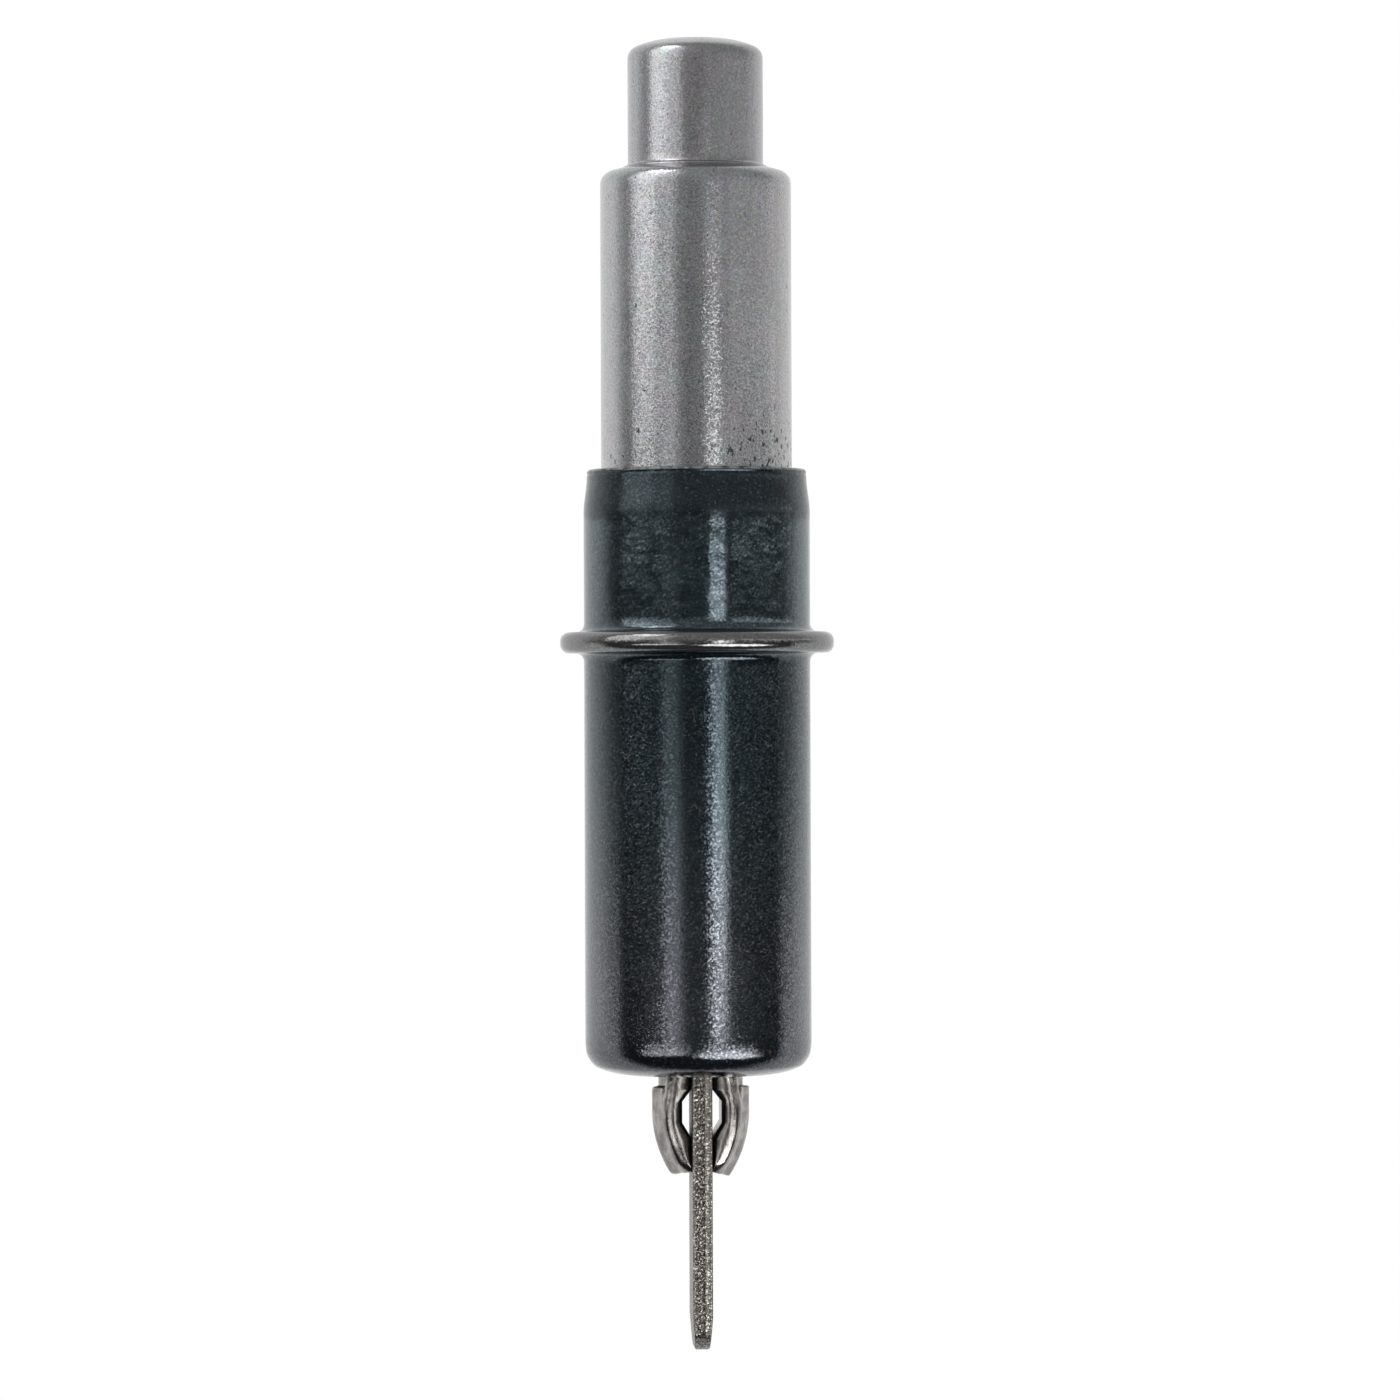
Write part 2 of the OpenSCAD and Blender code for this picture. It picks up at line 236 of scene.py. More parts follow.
def refine(points, longest):
    """The same line of points, with every step cut to at most the given length."""
    fine = [points[0]]
    for a, b in zip(points, points[1:]):
        gap = math.dist(a, b)
        if gap < 1e-6:
            continue
        steps = math.ceil(gap / longest)
        for i in range(1, steps + 1):
            fine.append(tuple(p + (q - p) * i / steps for p, q in zip(a, b)))
    return fine


def grain(points, size, seed):
    """Smooth noise between -1 and 1 at points in millimetres, with features of about that size."""
    offset = Vector((seed * 17.3, seed * 5.1, seed * 9.7))
    return np.array([noise.noise(Vector(p) / size + offset) for p in points])


def smooth_step(value, low, high):
    """0 below low, 1 above high, and a smooth change between them."""
    t = np.clip((value - low) / (high - low), 0.0, 1.0)
    return t * t * (3 - 2 * t)


def ring_faces(rings, sides, closed):
    """Quads between rings of the same number of points; closed joins the last ring to the first."""
    faces = []
    for i in range(rings if closed else rings - 1):
        low = i * sides
        high = (i + 1) % rings * sides
        for j in range(sides):
            k = (j + 1) % sides
            faces.append((low + j, low + k, high + k, high + j))
    return faces


def capped_faces(rings, sides):
    """Quads between rings in a row, and one face over each end."""
    faces = ring_faces(rings, sides, closed=False)
    faces.append(tuple(range(sides)))
    faces.append(tuple(range((rings - 1) * sides, rings * sides)))
    return faces


def make_piece(name, points, faces, material, sharp=38):
    """An object of smooth-shaded faces from points in mm, with edges sharp above an angle in degrees."""
    mesh = bpy.data.meshes.new(name)
    mesh.from_pydata((np.asarray(points) * MM).tolist(), [], faces)
    work = bmesh.new()
    work.from_mesh(mesh)
    bmesh.ops.recalc_face_normals(work, faces=work.faces)
    work.to_mesh(mesh)
    work.free()
    mesh.polygons.foreach_set("use_smooth", [True] * len(mesh.polygons))
    mesh.set_sharp_from_angle(angle=math.radians(sharp))
    mesh.materials.append(material)
    piece = bpy.data.objects.new(name, mesh)
    bpy.context.scene.collection.objects.link(piece)
    return piece


def mark(piece, name, values):
    """Keeps a value for each point of the piece, for its material to read."""
    piece.data.attributes.new(name, "FLOAT", "POINT").data.foreach_set("value", values)


def turned(section, segments, closed):
    """Points and faces of a half section (radius, height) turned round the axis.
    An open section is closed with a point on the axis at each end."""
    section = np.array(section)
    angles = np.linspace(0, 2 * np.pi, segments, endpoint=False)
    rings = np.stack(
        (
            np.outer(section[:, 0], np.cos(angles)),
            np.outer(section[:, 0], np.sin(angles)),
            np.outer(section[:, 1], np.ones(segments)),
        ),
        axis=2,
    )
    points = rings.reshape(-1, 3)
    faces = ring_faces(len(section), segments, closed)
    if not closed:
        first = len(points)
        ends = [(0.0, 0.0, section[0, 1]), (0.0, 0.0, section[-1, 1])]
        points = np.vstack((points, ends))
        last_ring = (len(section) - 1) * segments
        for j in range(segments):
            k = (j + 1) % segments
            faces.append((j, k, first))
            faces.append((last_ring + j, last_ring + k, first + 1))
    return points, faces


def dress(piece, body, node):
    """The piece moves with a body and stands for a CAD node, which is hidden."""
    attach(piece, body)
    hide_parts(node)
    return piece


# Materials


class Surface:
    """A material in the making: adds nodes to it and joins them."""

    def __init__(self, name, metallic, specular_ior=1.5):
        self.material = bpy.data.materials.new(name)
        self.material.use_nodes = True
        self.tree = self.material.node_tree
        self.shader = self.tree.nodes["Principled BSDF"]
        self.shader.inputs["Metallic"].default_value = metallic
        self.shader.inputs["IOR"].default_value = specular_ior
        self.place = self.node("ShaderNodeTexCoord").outputs["Object"]

    def node(self, kind, **settings):
        made = self.tree.nodes.new(kind)
        for key, value in settings.items():
            setattr(made, key, value)
        return made

    def join(self, value, socket):
        if isinstance(value, bpy.types.NodeSocket):
            self.tree.links.new(value, socket)
        else:
            socket.default_value = value

    def axis(self, letter):
        """One coordinate of the point, in metres."""
        split = self.node("ShaderNodeSeparateXYZ")
        self.join(self.place, split.inputs[0])
        return split.outputs[letter]

    def calc(self, operation, first, second=0.0):
        made = self.node("ShaderNodeMath", operation=operation)
        for value, socket in zip((first, second), made.inputs):
            self.join(value, socket)
        return made.outputs[0]

    def noise(self, size, detail=2.0, stretch=(1, 1, 1), turn=(0, 0, 0), roughness=0.5):
        """Noise with features of a size in millimetres, drawn out by a factor along each axis."""
        mapping = self.node("ShaderNodeMapping")
        self.join(self.place, mapping.inputs["Vector"])
        mapping.inputs["Rotation"].default_value = turn
        mapping.inputs["Scale"].default_value = [1 / (size * MM * s) for s in stretch]
        made = self.node("ShaderNodeTexNoise")
        self.join(mapping.outputs[0], made.inputs["Vector"])
        made.inputs["Scale"].default_value = 1.0
        made.inputs["Detail"].default_value = detail
        made.inputs["Roughness"].default_value = roughness
        return made.outputs[0]

    def between(self, value, low, high, to_low=0.0, to_high=1.0):
        """A smooth change from to_low to to_high while the value goes from low to high."""
        made = self.node("ShaderNodeMapRange", interpolation_type="SMOOTHSTEP")
        for item, socket in zip((value, low, high, to_low, to_high), made.inputs):
            self.join(item, socket)
        return made.outputs[0]

    def past(self, letter, span, first=0.0, last=1.0):
        """A smooth change from first to last along an axis, over a span in millimetres."""
        return self.between(self.axis(letter), span[0] * MM, span[1] * MM, first, last)

    def ease(self, share, first, last):
        """A smooth change from first to last while a share goes from 0 to 1."""
        return self.between(share, 0.0, 1.0, first, last)

    def times(self, first, second):
        return self.calc("MULTIPLY", first, second)

    def blend(self, share, first, second):
        """A colour between the first and the second."""
        made = self.node("ShaderNodeMix", data_type="RGBA")
        self.join(share, made.inputs["Factor"])
        self.join(first, made.inputs[6])
        self.join(second, made.inputs[7])
        return made.outputs[2]

    def bump(self, height, depth, over=None):
        """A normal from heights between 0 and 1, with a depth in millimetres, over another normal."""
        made = self.node("ShaderNodeBump")
        made.inputs["Strength"].default_value = 1.0
        made.inputs["Distance"].default_value = depth * MM
        self.join(height, made.inputs["Height"])
        if over is not None:
            self.join(over, made.inputs["Normal"])
        return made.outputs[0]

    def flakes(self, size):
        """A random colour for each of many small cells of a size in millimetres."""
        made = self.node("ShaderNodeTexVoronoi")
        self.join(self.place, made.inputs["Vector"])
        made.inputs["Scale"].default_value = 1 / (size * MM)
        return made.outputs["Color"]

    def tilted(self, normal, flakes, amount):
        """The normal, leaning another way in each flake, by up to about the given amount in radians."""
        lean = self.node("ShaderNodeVectorMath", operation="MULTIPLY_ADD")
        self.join(flakes, lean.inputs[0])
        lean.inputs[1].default_value = (2, 2, 2)
        lean.inputs[2].default_value = (-1, -1, -1)
        scaled = self.node("ShaderNodeVectorMath", operation="SCALE")
        self.join(lean.outputs[0], scaled.inputs[0])
        self.join(amount, scaled.inputs["Scale"])
        total = self.node("ShaderNodeVectorMath", operation="ADD")
        self.join(normal, total.inputs[0])
        self.join(scaled.outputs[0], total.inputs[1])
        unit = self.node("ShaderNodeVectorMath", operation="NORMALIZE")
        self.join(total.outputs[0], unit.inputs[0])
        return unit.outputs[0]

    def first_of(self, color):
        """The first channel of a colour."""
        split = self.node("ShaderNodeSeparateColor")
        self.join(color, split.inputs[0])
        return split.outputs[0]

    def marked(self, name):
        """A value kept for each point of the piece."""
        return self.node("ShaderNodeAttribute", attribute_name=name).outputs["Fac"]

    def reach(self):
        """Distance from the axis, in metres."""
        flat = self.node("ShaderNodeVectorMath", operation="MULTIPLY")
        self.join(self.place, flat.inputs[0])
        flat.inputs[1].default_value = (1, 1, 0)
        length = self.node("ShaderNodeVectorMath", operation="LENGTH")
        self.join(flat.outputs[0], length.inputs[0])
        return length.outputs["Value"]

    def set(self, **sockets):
        names = {
            "color": "Base Color",
            "roughness": "Roughness",
            "normal": "Normal",
            "shine": "Specular IOR Level",
            "gloss_tint": "Specular Tint",
        }
        for key, value in sockets.items():
            self.join(value, self.shader.inputs[names[key]])
        return self.material


def rgb(red, green, blue):
    return (red, green, blue, 1.0)


def oxide_color(s, patches, chance, bead):
    """Black with paler flakes, a few rust spots and scratches, greyer on the bead and bare at the rim."""
    color = s.blend(patches, rgb(0.001, 0.002, 0.003), rgb(0.003, 0.005, 0.007))
    color = s.blend(s.between(chance, 0.93, 1.0, 0.0, 0.8), color, rgb(0.026, 0.032, 0.037))
    spots = s.between(s.noise(0.30, detail=2), 0.68, 0.74, 0.0, 0.7)
    color = s.blend(spots, color, rgb(0.060, 0.030, 0.022))
    scratch = s.noise(0.10, detail=1, stretch=(1, 1, 14), turn=(0.5, 0.3, 0.0))
    color = s.blend(s.between(scratch, 0.74, 0.80, 0.0, 0.35), color, rgb(0.09, 0.10, 0.11))
    color = s.blend(s.times(bead, 0.8), color, rgb(0.018, 0.0175, 0.017))
    worn = s.times(s.past("Z", RIM_WEAR), s.between(s.noise(0.4, detail=3), 0.30, 0.60))
    return s.blend(worn, color, rgb(0.20, 0.20, 0.19))


def oxide_normal(s, flakes, bead, above):
    """Pebbled and flaked below the bead, smoother but less even above it."""
    lumps = s.bump(s.times(s.noise(0.9, detail=2), s.ease(above, 1.0, 3.5)), 0.004)
    texture = s.calc("ADD", s.ease(above, 1.0, 0.25), s.times(bead, 0.15))
    pebbles = s.times(s.noise(0.11, detail=3, roughness=0.6), texture)
    return s.tilted(s.bump(pebbles, 0.007, over=lumps), flakes, s.times(texture, 0.033))


def oxide_gloss(s, chance, bead, cone, above):
    """Strength and tint of the gloss: stronger and greyer low on the wall, weak at the swaged end."""
    shine = s.times(s.between(chance, 0.40, 1.0, 0.36, 0.74), s.ease(cone, 1.0, 0.4))
    fall = s.times(s.past("Z", SHINE_FALL, 1.40, 0.58), s.past("Z", CORNER_SHINE, 0.55, 1.0))
    fall = s.calc("ADD", fall, s.times(above, 0.40))
    shine = s.times(s.times(shine, fall), s.ease(bead, 1.0, 2.5))
    tint = s.blend(s.past("Z", TEAL_RISE), rgb(0.87, 0.91, 1.0), rgb(0.72, 0.90, 1.0))
    tint = s.blend(bead, tint, rgb(0.92, 0.92, 0.93))
    return s.calc("MINIMUM", shine, 1.0), tint


def black_oxide():
    """Black oxide on drawn steel: glossy with small sparkling flakes, worn on the bead and at the rim."""
    s = Surface("black_oxide_steel", metallic=0.0, specular_ior=2.0)
    patches = s.noise(1.6, detail=4)
    flakes = s.flakes(0.075)
    chance = s.first_of(flakes)
    bead = s.between(s.reach(), BEAD_FINISH[0] * MM, BEAD_FINISH[1] * MM)
    above = s.past("Z", ABOVE_BEAD)
    cone = s.past("Z", DULL_CONE)
    satin = s.times(s.past("Z", SATIN_END), s.past("Z", SATIN_START))
    dull = s.calc("MAXIMUM", s.times(cone, 0.20), s.times(satin, 0.14))
    rough = s.calc("MAXIMUM", s.between(patches, 0.3, 0.7, 0.09, 0.13), dull)
    color = oxide_color(s, patches, chance, bead)
    normal = oxide_normal(s, flakes, bead, above)
    shine, tint = oxide_gloss(s, chance, bead, cone, above)
    return s.set(color=color, roughness=rough, normal=normal, shine=shine, gloss_tint=tint)


def tumbled_color(s, cloud, speckle):
    """Grey with soft streaks, faint tints and speckles, browner at the right side, and a painted sheen that
    lightens the left edge.
    """
    streaks = s.noise(0.35, detail=3, stretch=(1, 1, 12))
    tint = s.noise(0.30, detail=2)
    broad = s.noise(1.3, detail=2)
    color = s.blend(cloud, rgb(0.345, 0.35, 0.36), rgb(0.40, 0.405, 0.415))
    color = s.blend(s.between(streaks, 0.42, 0.64, 0.0, 0.4), color, rgb(0.29, 0.29, 0.30))
    color = s.blend(s.past("X", PLUNGER_RIGHT, 0.0, 0.6), color, rgb(0.40, 0.385, 0.37))
    color = s.blend(s.between(tint, 0.52, 0.66, 0.0, 0.5), color, rgb(0.36, 0.345, 0.41))
    color = s.blend(s.between(tint, 0.48, 0.34, 0.0, 0.5), color, rgb(0.385, 0.39, 0.345))
    # painted sheen: the left edge is lightened as if it caught light from the side
    color = s.blend(s.past("X", PLUNGER_LEFT_PAINTED_SHEEN, 0.0, 0.5), color, rgb(0.50, 0.50, 0.505))
    color = s.blend(s.between(broad, 0.52, 0.66, 0.0, 0.5), color, rgb(0.40, 0.365, 0.385))
    color = s.blend(s.between(broad, 0.48, 0.34, 0.0, 0.5), color, rgb(0.34, 0.385, 0.375))
    color = s.blend(s.between(speckle, 0.50, 0.70, 0.0, 0.45), color, rgb(0.60, 0.605, 0.615))
    return s.blend(s.between(speckle, 0.50, 0.30, 0.0, 0.45), color, rgb(0.17, 0.17, 0.175))


def tumbled_pits(s):
    """Dark pits, most of them low on the right, near the housing."""
    level = s.times(s.times(s.past("Z", PIT_RISE), s.past("X", PIT_SIDE, 0.3, 1.0)), 0.13)
    pits = s.noise(0.22, detail=4, stretch=(1, 1, 1.6), turn=(0.0, 0.4, 0.0))
    return s.between(s.calc("ADD", pits, level), 0.68, 0.74)


def tumbled_steel():
    """Dull drawn steel, tumbled: fine grain, faint tints and pits, a band down its front that sparkles and
    is painted darker as a dark reflection, and painted shade on the right of the crown.
    """
    s = Surface("tumbled_steel", metallic=1.0)
    cloud = s.noise(1.8, detail=4, stretch=(1, 1, 2.5))
    speckle = s.noise(0.09, detail=2, roughness=0.6)
    pits = tumbled_pits(s)
    sparkle_and_painted_shade = s.times(s.past("X", SPARKLE_AND_SHADE_LEFT), s.past("X", SPARKLE_AND_SHADE_RIGHT))
    sparkle_and_painted_shade = s.times(sparkle_and_painted_shade, s.past("Z", SPARKLE_AND_SHADE_TOP))
    crown = s.times(s.past("Z", PAINTED_CROWN_SHADE_Z), s.past("X", CROWN_SHADE))
    color = s.blend(pits, tumbled_color(s, cloud, speckle), rgb(0.07, 0.07, 0.072))
    # painted shade: the band down the front is darkened like a dark reflection; the same band sparkles more
    # below
    color = s.blend(s.ease(sparkle_and_painted_shade, 0.0, 0.22), color, rgb(0.20, 0.205, 0.21))
    # painted shade: the crown is darkened towards its right side
    color = s.blend(s.ease(crown, 0.0, 0.30), color, rgb(0.22, 0.22, 0.225))
    rough = s.between(cloud, 0.3, 0.7, 0.18, 0.25)
    height = s.calc("SUBTRACT", speckle, pits)
    normal = s.tilted(s.bump(height, 0.005), s.flakes(0.075), s.ease(sparkle_and_painted_shade, 0.029, 0.052))
    return s.set(color=color, roughness=rough, normal=normal)


def hardened_steel():
    """Bare hardened strip: brownish grey, with fine lines drawn along it and painted shade, dark on the
    inner sides and cut ends.
    """
    s = Surface("hardened_steel", metallic=1.0)
    lines = s.noise(0.10, detail=3, stretch=(1, 1, 8))
    speckle = s.noise(0.09, detail=3, roughness=0.6)
    cloud = s.noise(0.7, detail=3)
    color = s.blend(s.between(cloud, 0.35, 0.65), rgb(0.20, 0.188, 0.178), rgb(0.36, 0.34, 0.322))
    color = s.blend(s.between(lines, 0.52, 0.72, 0.0, 0.6), color, rgb(0.12, 0.11, 0.10))
    color = s.blend(s.between(speckle, 0.56, 0.74, 0.0, 0.5), color, rgb(0.54, 0.52, 0.49))
    # painted shade on the inner sides and cut ends
    color = s.blend(s.ease(s.marked("inner"), 0.0, 0.85), color, rgb(0.04, 0.036, 0.032))
    rough = s.between(lines, 0.3, 0.7, 0.15, 0.25)
    normal = s.bump(s.calc("ADD", lines, speckle), 0.006)
    return s.set(color=color, roughness=rough, normal=normal)


def blanked_steel():
    """Bare strip with blanked edges: a rough torn zone beside a finely scored, burnished one."""
    s = Surface("blanked_steel", metallic=0.75)
    across = s.calc("DIVIDE", s.calc("SUBTRACT", s.axis("X"), SIDE_PLAY * MM), BAR_HALF_T * MM)
    edge = s.between(s.calc("ABSOLUTE", s.axis("Y")), BAR_RIM[0] * MM, BAR_RIM[1] * MM)
    off_middle = s.calc("ABSOLUTE", s.calc("SUBTRACT", across, TORN_MIDDLE))
    torn = s.times(edge, s.between(off_middle, TORN_HALF + 0.06, TORN_HALF))
    scored = s.times(edge, s.between(across, SCORED_START, SCORED_START + 0.1))
    speckle = s.noise(0.08, detail=3)
    pits = s.noise(0.10, detail=3, roughness=0.65)
    rungs = s.noise(0.07, detail=2, stretch=(6, 6, 1))
    cloud = s.noise(0.8, detail=3)
    color = s.blend(cloud, rgb(0.11, 0.104, 0.098), rgb(0.18, 0.171, 0.162))
    color = s.blend(edge, color, s.blend(cloud, rgb(0.115, 0.105, 0.094), rgb(0.19, 0.174, 0.157)))
    color = s.blend(s.between(speckle, 0.52, 0.66, 0.0, 0.9), color, rgb(0.70, 0.665, 0.625))
    dark = s.times(torn, s.between(pits, 0.60, 0.46, 0.0, 0.95))
    color = s.blend(dark, color, rgb(0.022, 0.020, 0.017))
    rung_share = s.times(scored, s.between(rungs, 0.58, 0.42, 0.0, 0.75))
    color = s.blend(rung_share, color, rgb(0.06, 0.055, 0.05))
    height = s.calc("ADD", speckle, s.times(torn, pits))
    height = s.calc("ADD", height, s.times(scored, rungs))
    return s.set(color=color, roughness=s.ease(edge, 0.42, 0.30), normal=s.bump(height, 0.010))


def spring_steel():
    """Oiled spring wire, slightly uneven."""
    s = Surface("spring_steel", metallic=1.0)
    cloud = s.noise(1.2, detail=3)
    speckle = s.noise(0.08, detail=2)
    color = s.blend(cloud, rgb(0.18, 0.18, 0.185), rgb(0.27, 0.27, 0.275))
    rough = s.between(speckle, 0.3, 0.7, 0.26, 0.36)
    return s.set(color=color, roughness=rough, normal=s.bump(speckle, 0.005))


# Housing


def dome_end(radius, edge, dome, flat_r):
    """Points (radius, depth) of a domed end, from the rim of its flat out and round to the wall."""
    slope = math.asin((radius - edge - flat_r) / (dome - edge))
    wall = dome - (dome - edge) * math.cos(slope)
    start = 270 + math.degrees(slope)
    return arc(flat_r, dome, dome, 270, start, 12) + arc(radius - edge, wall, edge, start, 360, 12)


def swaged_radius(z):
    """Outside radius of the housing near its rim: a cone with soft bends, and a fine crease."""
    soft = np.linspace(-SWAGE_SOFT, SWAGE_SOFT, 13)
    cone = RIM_SWAGE * np.clip((z + soft - SWAGE_Z) / CONE_H, 0.0, 1.0).mean()
    return HOUSING_R - cone - RIM_CREASE * math.exp(-(((z - RIM_CREASE_Z) / RIM_CREASE_H) ** 2))


def housing_section():
    """Closed half section of the housing, from the hole round by the outside and back along the inside."""
    bead_low = BEAD_Z - BEAD_T / 2
    bead_high = BEAD_Z + BEAD_T / 2
    bead_x = BEAD_R - BEAD_EDGE
    root_x = HOUSING_R + BEAD_FILLET
    outside = [(HOLE_R, HOUSING_WALL)]
    outside += arc(HOLE_R + HOLE_EDGE, HOLE_EDGE, HOLE_EDGE, 180, 270)
    outside += dome_end(HOUSING_R, HOUSING_CORNER, SEAT_CURVE, SEAT_R)
    outside += arc(root_x, bead_low - BEAD_FILLET, BEAD_FILLET, 180, 90)
    outside += arc(bead_x, bead_low + BEAD_EDGE, BEAD_EDGE, -90, 0)
    outside += arc(bead_x, bead_high - BEAD_EDGE, BEAD_EDGE, 0, 90)
    outside += arc(root_x, bead_high + BEAD_FILLET, BEAD_FILLET, 270, 180)
    outside += [(swaged_radius(z), z) for z in np.linspace(SWAGE_Z - 0.4, HOUSING_H - RIM_EDGE, 70)]
    outside += arc(RIM_R - RIM_EDGE, HOUSING_H - RIM_EDGE, RIM_EDGE, 0, 90, 8)
    inside = [(RIM_IR, HOUSING_H), (RIM_IR, SWAGE_Z + CONE_H), (HOUSING_IR, SWAGE_Z)]
    inside += [
        (HOUSING_IR, BEAD_Z + CREASE_H / 2),
        (HOUSING_IR + CREASE_DEPTH, BEAD_Z),
        (HOUSING_IR, BEAD_Z - CREASE_H / 2),
    ]
    cup = dome_end(HOUSING_IR, HOUSING_CORNER - HOUSING_WALL, SEAT_CURVE - HOUSING_WALL, SEAT_R)
    inside += [(x, HOUSING_WALL + depth) for x, depth in reversed(cup)]
    return refine(outside, longest=0.3) + refine(inside, longest=1.2)


def housing_shell(material):
    """The housing, turned, with a soft bend above its lower corner and an uneven bead and rim."""
    points, faces = turned(housing_section(), 256, closed=True)
    radius = np.hypot(points[:, 0], points[:, 1])
    wall = smooth_step(radius, HOUSING_IR + 0.05, HOUSING_R - 0.15)
    bend_in = SOFT_BEND * smooth_step(SOFT_Z - points[:, 2], 0.0, SOFT_H) * wall
    out = points[:, :2] / radius[:, None]
    bead = smooth_step(radius, HOUSING_R + 0.5, BEAD_R)
    nick = smooth_step(points[:, 2], HOUSING_H - 0.35, HOUSING_H - 0.15) * (radius > RIM_IR + 0.1)
    waves = grain(points, 2.2, 1) * BEAD_WAVE * bead
    chips = np.minimum(grain(points, 0.35, 2) + 0.15, 0.0) * CHIP_DEPTH * nick
    points[:, :2] += out * (waves + chips - bend_in)[:, None]
    points[:, 2] += grain(points, 1.8, 3) * BEAD_WAVE * bead
    return make_piece("housing_shell", points, faces, material)


# Plunger


def cap_edge(radius, edge, slope, flat_r, top_z):
    """Points from the flat's radius down a slope and round a rounded edge to the wall."""
    edge_x = radius - edge + edge * math.sin(slope)
    edge_z = top_z - (edge_x - flat_r) * math.tan(slope)
    wall_z = edge_z - edge * math.cos(slope)
    turn = 90 - math.degrees(slope)
    return [(flat_r, top_z)] + arc(radius - edge, wall_z, edge, turn, 0, 12)


def plunger_section():
    """Open half section of the plunger, from the middle of its top down the outside and up the inside."""
    foot_r = CROWN_R + NECK_FILLET
    foot_drop = NECK_FILLET * math.tan(SHOULDER_SLOPE)
    crown = dome_end(CROWN_R, CROWN_CORNER, CROWN_DOME, CROWN_FLAT_R)
    outside = [(TOP_DISC_R, TOP_Z)] + [(x, TOP_Z - depth) for x, depth in crown]
    outside += arc(foot_r, SHOULDER_Z + NECK_FILLET, NECK_FILLET, 180, 270, 8)
    outside += [(foot_r + 0.01, SHOULDER_Z - foot_drop)]
    outside += cap_edge(PLUNGER_R, SHOULDER_CORNER, SHOULDER_SLOPE, CROWN_R, SHOULDER_Z)[1:]
    outside += [(PLUNGER_R, LIP_TOP_Z), (LIP_R, LIP_TOP_Z), (LIP_R, SKIRT_Z)]
    inner_shoulder_z = SHOULDER_Z - PLUNGER_WALL / math.cos(SHOULDER_SLOPE)
    crown_top = TOP_Z - PLUNGER_WALL
    inside = [
        (PLUNGER_IR, SKIRT_Z),
        (PLUNGER_IR, inner_shoulder_z - (PLUNGER_IR - CROWN_R) * math.tan(SHOULDER_SLOPE)),
        (CROWN_IR, inner_shoulder_z - (CROWN_IR - CROWN_R) * math.tan(SHOULDER_SLOPE)),
    ]
    cup = dome_end(CROWN_IR, CROWN_CORNER - PLUNGER_WALL, CROWN_DOME - PLUNGER_WALL, CROWN_FLAT_R)
    inside += [(x, crown_top - depth) for x, depth in reversed(cup)] + [(TOP_DISC_R, crown_top)]
    return refine(outside, longest=0.3) + refine(inside, longest=1.5)


def plunger_cap(material):
    """The plunger, turned."""
    points, faces = turned(plunger_section(), 224, closed=False)
    return make_piece("plunger_cap", points, faces, material)


# Locks


def strip_loop():
    """The stock's section as a closed line of (u, v, outer): u out from the flat, v across, and whether
    the point lies on the outer half."""
    half = LOCK_HALF - STRIP_EDGE
    inner = [(STRIP_EDGE + x, half + y) for x, y in arc(0.0, 0.0, STRIP_EDGE, 180, 90, 8)]
    outer = [(LOCK_T - STRIP_EDGE + x, half + y) for x, y in arc(0.0, 0.0, STRIP_EDGE, 90, 0, 8)]
    rise = STOCK_H - LOCK_T
    # across the rib, from its foot to its ridge
    across = np.linspace(0.96, 0.0, 18)
    outer += [(LOCK_T + rise * math.cos(math.pi / 2 * y) ** 2, RIB_HALF * y) for y in across]
    half_loop = [(u, v, 0.0) for u, v in refine([(0.0, 0.0)] + inner, 0.2)]
    half_loop += [(u, v, 1.0) for u, v in refine(outer, 0.12)]
    mirrored = [(u, -v, w) for u, v, w in half_loop[-2:0:-1]]
    return np.array(half_loop + mirrored)


def inner_x(z):
    """Distance from the middle to a lock's inner side: its flat, the window with ramps, and the foot."""
    heights = [FOOT_LOW_Z, FOOT_TOP_Z, RAMP_LOW_Z, RAMP_TOP_Z]
    return np.interp(z, heights, [FLAT_X, FLAT_X + WINDOW_IN, FLAT_X + WINDOW_IN, FLAT_X])


def spread(u, outer, start, middle):
    """Places across the strip: the inner half is fitted from start to middle, the outer half is kept."""
    inner_t = LOCK_T - STRIP_EDGE
    room = (middle - start) / inner_t
    kept = np.maximum(middle + u - inner_t, start + THINNEST)
    return np.where(outer > 0, kept, start + u * room)


def hook_rings(loop):
    """Rings of the hidden hook at the top of a lock, from its end down to the shank."""
    u, v = loop[:, 0], loop[:, 1]
    end_x = np.sqrt(HOOK_R**2 - v**2) - HOOK_INSET
    rings = [np.column_stack((end_x, v, HOOK_TOP_Z - u))]
    rings.append(np.column_stack((np.full_like(u, HOOK_X), v, HOOK_TOP_Z - u)))
    for turn in np.radians(np.linspace(80, 10, 8)):
        reach = HOOK_BEND + STOCK_H - u
        rings.append(np.column_stack((HOOK_X - reach * math.cos(turn), v, HOOK_Z + reach * math.sin(turn))))
    return rings


